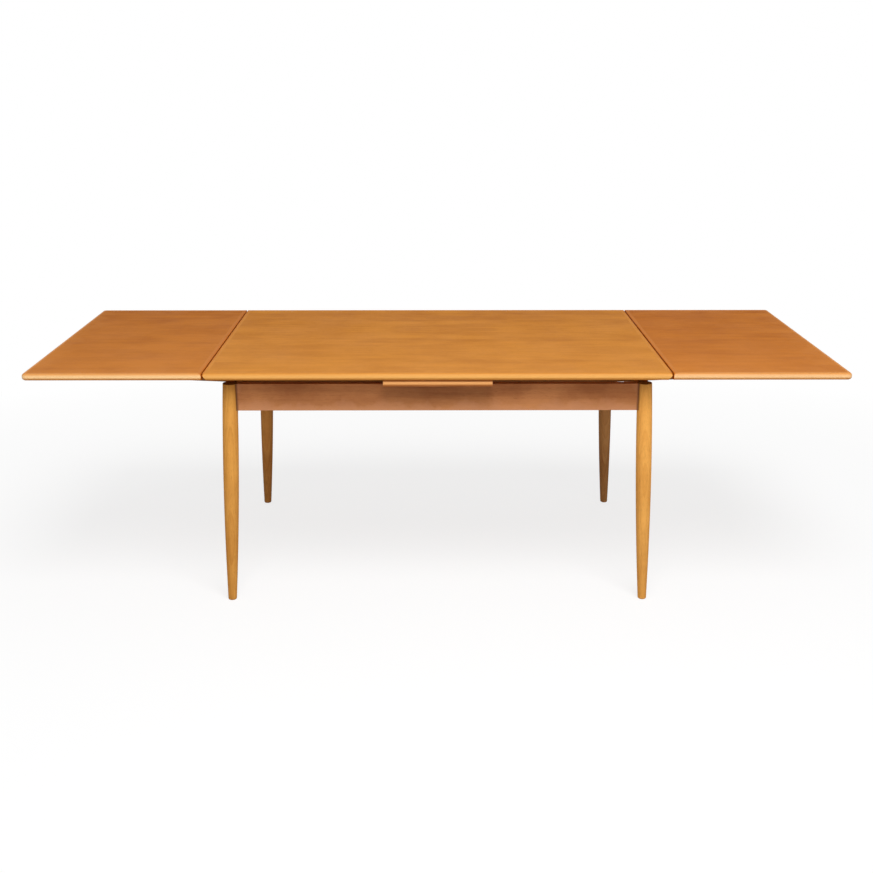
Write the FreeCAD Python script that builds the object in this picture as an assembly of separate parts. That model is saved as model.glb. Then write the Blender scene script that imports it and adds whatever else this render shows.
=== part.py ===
import FreeCAD, Part
import math
import os

from FreeCAD import Vector

# Draw leaf table. Two leaves slide out from under a loose main top and rise flush with it on
# sloping bearers. Millimetres. +X runs along the table, +Y to the back, +Z up. The origin is on
# the floor under the middle of the top. The leaves are modelled drawn out.

# Boards
table_height = 720.0
table_width = 900.0
top_length = 1340.0
board_thickness = 21.0
leaf_length = 512.0
seam_gap = 4.5              # between the main top's end and a drawn leaf
leaf_clearance = 0.4        # a leaf is this much thinner than the other boards
bay_clearance = 1.0         # between a stowed leaf and the centre board
lipping_width = 12.0        # solid wood edging round each veneered panel
nose_radius = 9.0           # rounding along the long edges and the leaves' outer edges
leaf_corner_radius = 14.0   # in plan
end_arris = 1.0             # easing of the square ends that meet at the seams
centre_board_setback = 8.0  # of its front and back edges, behind those of the main top
centre_board_nose = 7.0     # rounding along these edges
undercut_height = 14.6      # bevel under the main top's ends, which lets the leaves slip past
undercut_depth = 10.4

# Legs, measured along their axes
end_overhang = 68.0         # from the top's end to the axis of a leg at the frame's top
side_overhang = 56.0        # the same, from the top's front or back edge
leg_splay_x = 24.4          # how much further out its foot stands
leg_splay_y = 18.4
foot_diameter = 25.0
calf_diameter = 37.0
calf_height = 165.0
belly_diameter = 46.0
belly_height = 430.0
leg_top_diameter = 42.0
foot_rounding = 4.0

# Frame
apron_thickness = 22.0
apron_height = 80.0
apron_arris = 1.5
tenon_thickness = 10.0
tenon_shoulder = 10.0       # above and below each tenon
tenon_stop = 6.0            # from the end of a tenon to the leg's axis
tenon_root = 30.0           # how far back from the leg's axis a tenon starts
rail_thickness = 22.0
rail_height = 76.0
rail_inset = 39.0           # from the centre board's end to the rail's middle
rail_housing = 6.0          # depth of the housing that takes a rail's end
block_height = 50.0
block_leg = 60.0            # corner block, along each apron
block_nose = 22.0           # corner left open for the leg
block_drop = 8.0            # below the top edge of the aprons

# Lopers, the sloping bearers screwed under the leaves
loper_width = 26.0
left_loper_depth = 36.0
right_loper_depth = 47.0    # the inner pair, deeper
loper_setback = 66.0        # from the leaf's outer edge
loper_clearance = 0.8       # under the centre board
loper_seat_gap = 0.3        # under the loper, in its notches
loper_side_gap = 0.5
left_loper_inset = 150.0    # from the table's front or back edge to the loper's middle
right_loper_inset = 198.0
loper_tail = 20.0           # behind the stop dowel
stop_diameter = 8.0
stop_reach = 8.0            # how far a stop dowel stands out on each side of its loper
stop_gap = 0.5              # from the stop dowel to the rail
stop_passage = 1.0          # round a stop dowel where it passes the other rail

# Guide pegs in the underside of the main top
peg_diameter = 14.0
peg_inset = 330.0           # from the table's front or back edge
peg_socket = 12.0
peg_point = 12.0            # below the centre board
peg_taper = 3.0
peg_clearance = 0.3

# Screws
screw_diameter = 4.0
screw_head_diameter = 8.0
screw_head_height = 2.4
screw_tip = 4.0
screw_slot_width = 1.0
screw_slot_depth = 1.0
loper_screw_length = 30.0
loper_screw_bite = 12.0     # into the leaf
loper_screw_places = (60.0, 235.0, 410.0)
board_screw_length = 45.0
board_screw_insets = (100.0, 300.0)     # from the table's front and back edges
block_screw_length = 30.0
block_screw_bite = 14.0
block_screw_offset = 42.0   # from the inside corner of the aprons
block_screw_spacing = 26.0

# Derived sizes and places
top_end_x = top_length / 2
half_width = table_width / 2
leg_top_x = top_end_x - end_overhang
leg_top_y = half_width - side_overhang
peg_y = half_width - peg_inset
board_screw_places = [side * (half_width - inset)
                      for side in (-1, 1) for inset in board_screw_insets]
top_underside = table_height - board_thickness
frame_top = top_underside - board_thickness
apron_bottom = frame_top - apron_height
leaf_inner_x = top_end_x + seam_gap
leaf_outer_x = leaf_inner_x + leaf_length
leaf_travel = leaf_outer_x - top_end_x
leaf_drop = board_thickness
leaf_underside = top_underside + leaf_clearance
centre_board_end = leaf_inner_x - leaf_travel - bay_clearance
slope = leaf_drop / leaf_travel
rail_x = centre_board_end - rail_inset
stop_x = rail_x - rail_thickness / 2 - stop_gap - stop_diameter / 2
loper_inner_x = stop_x - loper_tail
loper_outer_x = leaf_outer_x - loper_setback
apron_middle = (frame_top + apron_bottom) / 2
up = Vector(0, 0, 1)


def box(x_range, y_range, z_range):
    low = Vector(min(x_range), min(y_range), min(z_range))
    high = Vector(max(x_range), max(y_range), max(z_range))
    size = high - low
    return Part.makeBox(size.x, size.y, size.z, low)


def prism(points, direction):
    closed = [Vector(*point) for point in points]
    outline = Part.makePolygon(closed + closed[:1])
    return Part.Face(outline).extrude(Vector(*direction))


def cut_all(shape, tools):
    for tool in tools:
        shape = shape.cut(tool)
    return shape


def placed(shape, point, direction):
    """A shape that points along +Z, turned to a direction and moved to a point."""
    moved = shape.copy()
    moved.Placement = FreeCAD.Placement(point, FreeCAD.Rotation(up, direction))
    return moved


def mirrored(shape):
    return shape.mirror(Vector(0, 0, 0), Vector(1, 0, 0))


def long_edges(shape, x_range):
    """The edges along the front, back and outer sides of a board, top and bottom."""
    found = []
    for edge in shape.Edges:
        limits = edge.BoundBox
        flat = limits.ZLength < 0.01
        end_edge = limits.XLength < 0.01 and any(abs(limits.XMin - x) < 0.01 for x in x_range)
        if flat and not end_edge:
            found.append(edge)
    return found


def end_outline(shape, x):
    """The edges round the square end of a board at x."""
    return [edge for edge in shape.Edges
            if edge.BoundBox.XLength < 0.01 and abs(edge.BoundBox.XMin - x) < 0.01]


# Boards ---------------------------------------------------------------------------------------

def board_blank(x_range, z_range, square_ends):
    """A board of the table's width, rounded along every side that is not a square end."""
    board = box(x_range, (-half_width, half_width), z_range)
    corners = [edge for edge in board.Edges
               if edge.BoundBox.ZLength > 1 and
               not any(abs(edge.BoundBox.XMin - x) < 0.01 for x in square_ends)]
    if corners:
        board = board.makeFillet(leaf_corner_radius, corners)
    return board.makeFillet(nose_radius, long_edges(board, square_ends))


def board_pieces(name, board, x_range):
    """The veneered panel and the mitred lippings round it."""
    low_x, high_x = x_range
    inner_low = low_x + lipping_width
    inner_high = high_x - lipping_width
    inner_half = half_width - lipping_width
    limits = board.BoundBox
    base = limits.ZMin - 1
    rise = (0, 0, limits.ZLength + 2)
    plans = {
        "panel": [(inner_low, -inner_half), (inner_high, -inner_half),
                  (inner_high, inner_half), (inner_low, inner_half)],
        "front_lipping": [(low_x, -half_width), (high_x, -half_width),
                          (inner_high, -inner_half), (inner_low, -inner_half)],
        "back_lipping": [(low_x, half_width), (high_x, half_width),
                         (inner_high, inner_half), (inner_low, inner_half)],
        "left_lipping": [(low_x, -half_width), (inner_low, -inner_half),
                         (inner_low, inner_half), (low_x, half_width)],
        "right_lipping": [(high_x, -half_width), (inner_high, -inner_half),
                          (inner_high, inner_half), (high_x, half_width)],
    }
    pieces = {}
    for part_name, plan in plans.items():
        region = prism([(x, y, base) for x, y in plan], rise)
        pieces[name + "_" + part_name] = board.common(region)
    return pieces


def undercut(side):
    """The wedge removed from under one end of the main top."""
    end = side * top_end_x
    overhang = side * 1.0
    drop = undercut_height / undercut_depth
    outline = [(end + overhang, top_underside + undercut_height + drop),
               (end - side * undercut_depth, top_underside),
               (end - side * undercut_depth, top_underside - 1),
               (end + overhang, top_underside - 1)]
    start = -half_width - 1
    return prism([(x, start, z) for x, z in outline], (0, table_width + 2, 0))


def main_top():
    ends = (-top_end_x, top_end_x)
    board = board_blank(ends, (top_underside, table_height), ends)
    board = cut_all(board, [undercut(-1), undercut(1)])
    for end in ends:
        board = board.makeFillet(end_arris, end_outline(board, end))
    pieces = board_pieces("main_top", board, ends)
    sockets = [placed(Part.makeCylinder(peg_diameter / 2, peg_socket),
                      Vector(0, side * peg_y, top_underside), up) for side in (-1, 1)]
    pieces["main_top_panel"] = cut_all(pieces["main_top_panel"], sockets)
    pieces["main_top_guide_pegs"] = Part.makeCompound([guide_peg(side) for side in (-1, 1)])
    return pieces


def guide_peg(side):
    bottom = frame_top - peg_point
    length = top_underside + peg_socket - bottom
    radius = peg_diameter / 2
    tip = Part.makeCone(radius - peg_taper, radius, peg_taper)
    stem = Part.makeCylinder(radius, length - peg_taper, Vector(0, 0, peg_taper))
    return placed(tip.fuse(stem).removeSplitter(), Vector(0, side * peg_y, bottom), up)


def centre_board():
    ends = (-centre_board_end, centre_board_end)
    edge_y = half_width - centre_board_setback
    board = box(ends, (-edge_y, edge_y), (frame_top, top_underside))
    board = board.makeFillet(centre_board_nose, long_edges(board, ends))
    holes = [placed(Part.makeCylinder(peg_diameter / 2 + peg_clearance, board_thickness),
                    Vector(0, side * peg_y, frame_top), up) for side in (-1, 1)]
    tall = (frame_top - 1, top_underside + 1)
    inner_y = edge_y - lipping_width
    panel = board.common(box(ends, (-inner_y, inner_y), tall))
    return {
        "centre_board_panel": cut_all(panel, holes + board_screw_holes()),
        "centre_board_front_lipping": board.common(box(ends, (-edge_y, -inner_y), tall)),
        "centre_board_back_lipping": board.common(box(ends, (inner_y, edge_y), tall)),
    }


def right_leaf():
    x_range = (leaf_inner_x, leaf_outer_x)
    board = board_blank(x_range, (leaf_underside, table_height), (leaf_inner_x,))
    board = board.makeFillet(end_arris, end_outline(board, leaf_inner_x))
    return board, x_range


# Screws ---------------------------------------------------------------------------------------

def screw_body(length):
    """A countersunk screw standing on its head, point up, with no slot."""
    head = screw_head_diameter / 2
    shank = screw_diameter / 2
    outline = [(0, 0, 0), (head, 0, 0), (shank, 0, screw_head_height),
               (shank, 0, length - screw_tip), (0, 0, length)]
    wire = Part.makePolygon([Vector(*point) for point in outline + outline[:1]])
    return Part.Face(wire).revolve(Vector(0, 0, 0), up, 360)


def screw(length):
    head = screw_head_diameter / 2
    slot = box((-head, head), (-screw_slot_width / 2, screw_slot_width / 2), (0, screw_slot_depth))
    return screw_body(length).cut(slot)


def screw_hole(length, sink):
    """The space of a screw, with a counterbore of depth sink below its head."""
    if sink <= 0:
        return screw_body(length)
    bore = Part.makeCylinder(screw_head_diameter / 2, sink, Vector(0, 0, -sink))
    return bore.fuse(screw_body(length))


def loper_screw_seats(y):
    """Where the heads of the screws sit in the right lopers at y."""
    head_z = leaf_underside + loper_screw_bite - loper_screw_length
    return [Vector(leaf_inner_x + place, y, head_z) for place in loper_screw_places]


def loper_screw_holes(side_x, y):
    return [placed(screw_hole(loper_screw_length, loper_depth(side_x)), seat, up)
            for seat in loper_screw_seats(y)]


def board_screw_seats():
    return [Vector(side * rail_x, y, top_underside)
            for side in (-1, 1) for y in board_screw_places]


def board_screw_holes():
    return [placed(screw_hole(board_screw_length, 0), seat, -up) for seat in board_screw_seats()]


def block_screw_seats(side_x, side_y):
    """Head centre and driving direction of the screws through one corner block."""
    corner_x, corner_y = apron_corner()
    sink = block_screw_length - block_screw_bite
    seats = []
    for step in (-0.5, 0.5):
        z = frame_top - block_drop - block_height / 2 + step * block_screw_spacing
        along_y = Vector(side_x * (corner_x - block_screw_offset), side_y * (corner_y - sink), z)
        along_x = Vector(side_x * (corner_x - sink), side_y * (corner_y - block_screw_offset), z)
        seats.append((along_y, Vector(0, side_y, 0)))
        seats.append((along_x, Vector(side_x, 0, 0)))
    return seats


def block_screw_holes(side_x, side_y):
    return [placed(screw_hole(block_screw_length, block_leg), seat, direction)
            for seat, direction in block_screw_seats(side_x, side_y)]


# Legs and frame -------------------------------------------------------------------------------

def leg_axis(z):
    """X and Y of a leg's axis at a height, in the back right corner."""
    drop = (frame_top - z) / frame_top
    return leg_top_x + drop * leg_splay_x, leg_top_y + drop * leg_splay_y


def leg_blank(side_x, side_y):
    """A turned leg, leaning out at its foot, cut level at the floor and at the frame's top."""
    spare = 3.0
    shape = ((-spare, foot_diameter), (calf_height, calf_diameter),
             (belly_height, belly_diameter), (frame_top + spare, leg_top_diameter))
    profile = Part.BSplineCurve()
    profile.interpolate([Vector(diameter / 2, 0, z) for z, diameter in shape])
    low, high = shape[0][0], shape[-1][0]
    axis_low, axis_high = Vector(0, 0, low), Vector(0, 0, high)
    wire = Part.Wire([Part.makeLine(axis_low, profile.StartPoint), profile.toShape(),
                      Part.makeLine(profile.EndPoint, axis_high),
                      Part.makeLine(axis_high, axis_low)])
    turned = Part.Face(wire).revolve(Vector(0, 0, 0), up, 360)
    foot_x, foot_y = leg_axis(0)
    foot = Vector(side_x * foot_x, side_y * foot_y, 0)
    head = Vector(side_x * leg_top_x, side_y * leg_top_y, frame_top)
    reach = belly_diameter
    level = box((foot.x - reach, foot.x + reach), (foot.y - reach, foot.y + reach), (0, frame_top))
    leg = placed(turned, foot, head - foot).common(level)
    foot_edge = [edge for edge in leg.Edges if edge.BoundBox.ZMax < 0.01]
    return leg.makeFillet(foot_rounding, foot_edge)


def tenon_along_x(side_x, side_y):
    x, y = leg_axis(apron_middle)
    half = tenon_thickness / 2
    return box((side_x * (x - tenon_root), side_x * (x - tenon_stop)),
               (side_y * y - half, side_y * y + half),
               (apron_bottom + tenon_shoulder, frame_top - tenon_shoulder))


def tenon_along_y(side_x, side_y):
    x, y = leg_axis(apron_middle)
    half = tenon_thickness / 2
    return box((side_x * x - half, side_x * x + half),
               (side_y * (y - tenon_root), side_y * (y - tenon_stop)),
               (apron_bottom + tenon_shoulder, frame_top - tenon_shoulder))


def leg(side_x, side_y):
    return cut_all(leg_blank(side_x, side_y),
                   [tenon_along_x(side_x, side_y), tenon_along_y(side_x, side_y)])


def apron_corner():
    """X and Y of the inside corner of the aprons, at the back right."""
    x, y = leg_axis(apron_middle)
    return x - apron_thickness / 2, y - apron_thickness / 2


def apron_board(x_range, y_range):
    board = box(x_range, y_range, (apron_bottom, frame_top))
    lower = [edge for edge in board.Edges
             if edge.BoundBox.ZMax < apron_bottom + 0.01 and edge.Length > 2 * apron_thickness]
    return board.makeFillet(apron_arris, lower)


def long_apron(side_y):
    """The front or back apron, coped round the legs and tenoned into them."""
    x, y = leg_axis(apron_middle)
    half = apron_thickness / 2
    apron = apron_board((-x, x), (side_y * y - half, side_y * y + half))
    for side_x in (-1, 1):
        apron = apron.cut(leg_blank(side_x, side_y))
        apron = apron.fuse(tenon_along_x(side_x, side_y)).removeSplitter()
        apron = cut_all(apron, [rail_blank(side_x)] + block_screw_holes(side_x, side_y))
    return apron


def end_apron(side_x):
    """The left or right apron, notched on top for the lopers of its own leaf."""
    x, y = leg_axis(apron_middle)
    half = apron_thickness / 2
    apron = apron_board((side_x * x - half, side_x * x + half), (-y, y))
    for side_y in (-1, 1):
        apron = apron.cut(leg_blank(side_x, side_y))
        apron = apron.fuse(tenon_along_y(side_x, side_y)).removeSplitter()
        notch = loper_notch(side_x, side_y * loper_y(side_x), x, apron_thickness, loper_side_gap)
        apron = cut_all(apron, [notch] + block_screw_holes(side_x, side_y))
    return apron


def rail_blank(side_x):
    """A cross rail, from the housing in the front apron to the one in the back apron."""
    end_y = apron_corner()[1] + rail_housing
    half = rail_thickness / 2
    return box((side_x * rail_x - half, side_x * rail_x + half), (-end_y, end_y),
               (frame_top - rail_height, frame_top))


def cross_rail(side_x):
    """A rail under the centre board. Its own lopers run close, the other leaf's pass freely."""
    rail = cut_all(rail_blank(side_x), board_screw_holes())
    passage = stop_reach + stop_passage
    for side_y in (-1, 1):
        own = side_y * loper_y(side_x)
        other = side_y * loper_y(-side_x)
        rail = rail.cut(loper_notch(side_x, own, rail_x, rail_thickness, loper_side_gap))
        rail = rail.cut(loper_notch(-side_x, other, -rail_x, rail_thickness, passage))
    return rail


def corner_block(side_x, side_y):
    corner_x, corner_y = apron_corner()
    plan = [(corner_x - block_nose, corner_y), (corner_x - block_leg, corner_y),
            (corner_x, corner_y - block_leg), (corner_x, corner_y - block_nose)]
    top = frame_top - block_drop
    block = prism([(side_x * x, side_y * y, top - block_height) for x, y in plan],
                  (0, 0, block_height))
    return cut_all(block, block_screw_holes(side_x, side_y))


# Lopers ---------------------------------------------------------------------------------------

def loper_y(side_x):
    return half_width - (right_loper_inset if side_x > 0 else left_loper_inset)


def loper_depth(side_x):
    return right_loper_depth if side_x > 0 else left_loper_depth


def loper_top(x):
    """Height of the sloping top edge of a right loper, which just clears the centre board."""
    return frame_top - loper_clearance + slope * (x - centre_board_end)


def loper_bottom(side_x, x):
    return loper_top(x) - loper_depth(side_x)


def loper_notch(side_x, y, middle_x, thickness, side_gap):
    """A notch, open on top, for a loper of one side's leaf where it crosses a rail."""
    low = middle_x - thickness / 2 - 1
    high = middle_x + thickness / 2 + 1
    half = loper_width / 2 + side_gap
    start = y - half
    outline = [(low, loper_bottom(side_x, low) - loper_seat_gap),
               (high, loper_bottom(side_x, high) - loper_seat_gap),
               (high, frame_top + 1), (low, frame_top + 1)]
    return prism([(side_x * x, start, z) for x, z in outline], (0, 2 * half, 0))


def loper(side_x, y):
    """Level under the leaf, then sloping parallel to its bottom edge under the main top.

    Made on the right, for the leaf of either side.
    """
    start = y - loper_width / 2
    outline = [(loper_inner_x, loper_bottom(side_x, loper_inner_x)),
               (loper_outer_x, loper_bottom(side_x, loper_outer_x)),
               (loper_outer_x, leaf_underside),
               (leaf_inner_x, leaf_underside),
               (leaf_inner_x, loper_top(leaf_inner_x)),
               (loper_inner_x, loper_top(loper_inner_x))]
    bearer = prism([(x, start, z) for x, z in outline], (0, loper_width, 0))
    return cut_all(bearer, loper_screw_holes(side_x, y) + [stop_dowel(side_x, y)])


def stop_dowel(side_x, y):
    """A dowel across the tail of a loper, which meets the rail when the leaf is out."""
    length = loper_width + 2 * stop_reach
    middle_z = loper_top(stop_x) - loper_depth(side_x) / 2
    centre = Vector(stop_x, y - length / 2, middle_z)
    return placed(Part.makeCylinder(stop_diameter / 2, length), centre, Vector(0, 1, 0))


def leaf_pieces(side):
    """Every piece of one leaf. The left leaf mirrors the right one, on its own loper lines."""
    board, x_range = right_leaf()
    spacing = loper_y(side)
    pieces = board_pieces("leaf", board, x_range)
    holes = loper_screw_holes(side, -spacing) + loper_screw_holes(side, spacing)
    names = {"leaf_panel": "panel", "leaf_front_lipping": "front_lipping",
             "leaf_back_lipping": "back_lipping", "leaf_left_lipping": "inner_lipping",
             "leaf_right_lipping": "outer_lipping"}
    leaf = {names[name]: piece for name, piece in pieces.items()}
    leaf["panel"] = cut_all(leaf["panel"], holes)
    leaf["front_loper"] = loper(side, -spacing)
    leaf["back_loper"] = loper(side, spacing)
    seats = loper_screw_seats(-spacing) + loper_screw_seats(spacing)
    leaf["loper_screws"] = Part.makeCompound(
        [placed(screw(loper_screw_length), seat, up) for seat in seats])
    leaf["stop_dowels"] = Part.makeCompound([stop_dowel(side, -spacing), stop_dowel(side, spacing)])
    side_name = "right" if side > 0 else "left"
    turned = {}
    for name, piece in leaf.items():
        part_name = side_name + "_leaf_" + name
        turned[part_name] = piece if side > 0 else mirrored(piece)
    return turned


# The whole table --------------------------------------------------------------------------------

def table():
    pieces = {}
    x_names = {-1: "left", 1: "right"}
    y_names = {-1: "front", 1: "back"}
    for side_y, y_name in y_names.items():
        for side_x, x_name in x_names.items():
            corner = y_name + "_" + x_name
            pieces[corner + "_leg"] = leg(side_x, side_y)
            pieces[corner + "_corner_block"] = corner_block(side_x, side_y)
        pieces[y_name + "_apron"] = long_apron(side_y)
    for side_x, x_name in x_names.items():
        pieces[x_name + "_end_apron"] = end_apron(side_x)
        pieces[x_name + "_cross_rail"] = cross_rail(side_x)
    corner_seats = [seat for side_x in x_names for side_y in y_names
                    for seat in block_screw_seats(side_x, side_y)]
    pieces["corner_block_screws"] = Part.makeCompound(
        [placed(screw(block_screw_length), seat, direction) for seat, direction in corner_seats])
    pieces["centre_board_screws"] = Part.makeCompound(
        [placed(screw(board_screw_length), seat, -up) for seat in board_screw_seats()])
    pieces.update(centre_board())
    pieces.update(main_top())
    for side in (-1, 1):
        pieces.update(leaf_pieces(side))
    return pieces


os.makedirs("parts", exist_ok=True)
for node, shape in table().items():
    shape.exportStep(os.path.join("parts", node + ".step"))
    print(node, len(shape.Solids), "solids, volume", round(shape.Volume), "valid", shape.isValid())
travel = math.hypot(leaf_travel, leaf_drop)
print("leaf travel", round(travel, 3), "slope", round(math.degrees(math.atan(slope)), 3))
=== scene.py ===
import math

import bmesh
import bpy
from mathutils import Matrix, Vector


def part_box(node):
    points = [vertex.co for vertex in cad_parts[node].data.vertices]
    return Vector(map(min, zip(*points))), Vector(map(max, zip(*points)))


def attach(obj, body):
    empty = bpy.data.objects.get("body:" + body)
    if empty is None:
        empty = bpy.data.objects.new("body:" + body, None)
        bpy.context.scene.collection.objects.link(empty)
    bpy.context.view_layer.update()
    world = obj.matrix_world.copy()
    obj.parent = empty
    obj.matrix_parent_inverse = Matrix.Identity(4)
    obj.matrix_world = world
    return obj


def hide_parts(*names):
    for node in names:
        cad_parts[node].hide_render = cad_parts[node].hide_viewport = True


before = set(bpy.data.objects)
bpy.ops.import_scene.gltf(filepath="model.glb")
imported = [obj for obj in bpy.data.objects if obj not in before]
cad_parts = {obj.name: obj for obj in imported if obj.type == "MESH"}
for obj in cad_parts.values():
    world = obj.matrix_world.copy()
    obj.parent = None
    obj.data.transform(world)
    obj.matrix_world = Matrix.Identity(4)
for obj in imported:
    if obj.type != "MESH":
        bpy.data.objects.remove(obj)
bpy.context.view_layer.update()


# --- Legs ------------------------------------------------------------------------------------------
# Four round legs of solid teak, turned to a slim cigar shape that is fullest below the aprons.
# They lean out a little, are cut level at floor and frame, and have the foot's rim rounded over.

def new_group(name, kind, inputs, outputs):
    """A node group with named sockets. Each input is (name, socket type, value)."""
    group = bpy.data.node_groups.new(name, kind)
    for socket_name, socket_type, value in inputs:
        socket = group.interface.new_socket(socket_name, in_out="INPUT", socket_type=socket_type)
        if value is not None:
            socket.default_value = value
    for socket_name, socket_type in outputs:
        group.interface.new_socket(socket_name, in_out="OUTPUT", socket_type=socket_type)
    return group, group.nodes.new("NodeGroupInput").outputs, group.nodes.new("NodeGroupOutput").inputs


def feed(tree, socket, source):
    """Gives a socket a link or a plain value."""
    if isinstance(source, bpy.types.NodeSocket):
        tree.links.new(source, socket)
    elif source is not None:
        socket.default_value = source


def node_of(tree, kind, settings=None, **sources):
    """A node with its settings, and its inputs fed by name."""
    node = tree.nodes.new(kind)
    for setting, value in (settings or {}).items():
        setattr(node, setting, value)
    for name, source in sources.items():
        label = name.replace("_", " ").title()
        feed(tree, next(s for s in node.inputs if s.name.title() == label and s.enabled), source)
    return node


def calc(tree, operation, *terms, kind="ShaderNodeMath"):
    node = tree.nodes.new(kind)
    node.operation = operation
    for socket, term in zip(node.inputs, terms):
        feed(tree, socket, term)
    return next(socket for socket in node.outputs if socket.enabled)


def vector_calc(tree, operation, *terms):
    return calc(tree, operation, *terms, kind="ShaderNodeVectorMath")


def combine(tree, *parts):
    node = tree.nodes.new("ShaderNodeCombineXYZ")
    for socket, part in zip(node.inputs, parts):
        feed(tree, socket, part)
    return node.outputs[0]


def separate(tree, vector):
    node = tree.nodes.new("ShaderNodeSeparateXYZ")
    feed(tree, node.inputs[0], vector)
    return node.outputs


def set_inputs(modifier, values):
    """Sets a Geometry Nodes modifier's inputs, found by the names that its tree gives them."""
    for item in modifier.node_group.interface.items_tree:
        if item.item_type == "SOCKET" and item.in_out == "INPUT" and item.name in values:
            modifier[item.identifier] = values[item.name]


def grown(name, tree, values, places=()):
    """The plain mesh that a tree makes, from places that are each a point and a direction."""
    mesh = bpy.data.meshes.new(name + "_places")
    mesh.from_pydata([point for point, _ in places], [], [])
    pointing = mesh.attributes.new("direction", "FLOAT_VECTOR", "POINT")
    for item, (_, direction) in zip(pointing.data, places):
        item.vector = direction
    seed_object = bpy.data.objects.new(name + "_places", mesh)
    bpy.context.scene.collection.objects.link(seed_object)
    modifier = seed_object.modifiers.new("shape", "NODES")
    modifier.node_group = tree
    set_inputs(modifier, values)
    seed_object.update_tag()
    evaluated = seed_object.evaluated_get(bpy.context.evaluated_depsgraph_get())
    grown_mesh = bpy.data.meshes.new_from_object(evaluated)
    seed_object.modifiers.remove(modifier)
    bpy.data.objects.remove(seed_object)
    return piece_of(name, grown_mesh)


def piece_of(name, mesh):
    mesh.name = name
    piece = bpy.data.objects.new(name, mesh)
    bpy.context.scene.collection.objects.link(piece)
    return piece


def finished(tree, geometry, material, result, crease=math.radians(30)):
    """Smooth faces with crisp edges, real meshes and one material, to the end of a tree."""
    smooth = node_of(tree, "GeometryNodeSetShadeSmooth", geometry=geometry)
    angle = node_of(tree, "GeometryNodeInputMeshEdgeAngle").outputs[0]
    crisp = node_of(tree, "GeometryNodeSetShadeSmooth", {"domain": "EDGE"}, geometry=smooth.outputs[0],
                    selection=calc(tree, "GREATER_THAN", angle, crease), shade_smooth=False)
    real = node_of(tree, "GeometryNodeRealizeInstances", geometry=crisp.outputs[0])
    last = node_of(tree, "GeometryNodeSetMaterial", geometry=real.outputs[0], material=material)
    feed(tree, result, last.outputs[0])


def turned_leg_tree():
    """A leg from the floor up, as rings. Its width is the smooth curve through four diameters."""
    sides, rings, crowding = 72, 160, 1.6
    sizes = ("Foot", "Calf", "Belly", "Head")
    tree, given, result = new_group(
        "turned leg", "GeometryNodeTree",
        [(f"{size} Diameter", "NodeSocketFloat", None) for size in sizes]
        + [(f"{size} Height", "NodeSocketFloat", None) for size in sizes]
        + [("Length", "NodeSocketFloat", None), ("Rim Rounding", "NodeSocketFloat", None),
           ("Foot Centre", "NodeSocketVector", None), ("Head Centre", "NodeSocketVector", None),
           ("Material", "NodeSocketMaterial", None)],
        [("Geometry", "NodeSocketGeometry")])
    blank = node_of(tree, "GeometryNodeMeshCylinder", vertices=sides, side_segments=rings,
                    radius=1.0, depth=1.0)
    place = node_of(tree, "GeometryNodeInputPosition").outputs[0]
    share = calc(tree, "POWER", calc(tree, "ADD", separate(tree, place)[2], 0.5), crowding)
    level = calc(tree, "MULTIPLY", share, given["Length"])
    radius = 0.0
    for size in sizes:
        term = calc(tree, "MULTIPLY", given[f"{size} Diameter"], 0.5)
        for other in sizes:
            if other != size:
                height = given[f"{other} Height"]
                span = calc(tree, "SUBTRACT", given[f"{size} Height"], height)
                offset = calc(tree, "SUBTRACT", level, height)
                term = calc(tree, "MULTIPLY", term, calc(tree, "DIVIDE", offset, span))
        radius = calc(tree, "ADD", term, radius)
    rim = given["Rim Rounding"]
    short = calc(tree, "SUBTRACT", rim, calc(tree, "MINIMUM", level, rim))
    rounded = calc(tree, "SQRT", calc(tree, "SUBTRACT", calc(tree, "MULTIPLY", rim, rim),
                                      calc(tree, "MULTIPLY", short, short)))
    radius = calc(tree, "ADD", radius, calc(tree, "SUBTRACT", rounded, rim))
    ring = vector_calc(tree, "MULTIPLY", place, combine(tree, radius, radius, 0.0))
    reach = vector_calc(tree, "SUBTRACT", given["Head Centre"], given["Foot Centre"])
    axis = vector_calc(tree, "MULTIPLY", reach, combine(tree, share, share, share))
    spot = vector_calc(tree, "ADD", vector_calc(tree, "ADD", given["Foot Centre"], axis), ring)
    shaped = node_of(tree, "GeometryNodeSetPosition", geometry=blank.outputs["Mesh"], position=spot)
    finished(tree, shaped.outputs[0], given["Material"], result[0])
    return tree


def noise(tree, position, along, across, detail=3.0, roughness=0.55, shift=0.0):
    """Noise drawn out along the grain: cells per metre along it and across it."""
    stretched = vector_calc(tree, "MULTIPLY", position, (along, across, across))
    moved = vector_calc(tree, "ADD", stretched, (shift, shift, shift))
    return node_of(tree, "ShaderNodeTexNoise", vector=moved, scale=1.0, detail=detail,
                   roughness=roughness).outputs[0]


def remap(tree, value, low, high, to_low=0.0, to_high=1.0):
    node = tree.nodes.new("ShaderNodeMapRange")
    for socket, term in zip(node.inputs, (value, low, high, to_low, to_high)):
        feed(tree, socket, term)
    return node.outputs[0]


def blend_colours(tree, share, first, second):
    node = tree.nodes.new("ShaderNodeMix")
    node.data_type = "RGBA"
    feed(tree, node.inputs["Factor"], share)
    feed(tree, node.inputs[6], first)
    feed(tree, node.inputs[7], second)
    return node.outputs[2]


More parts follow.
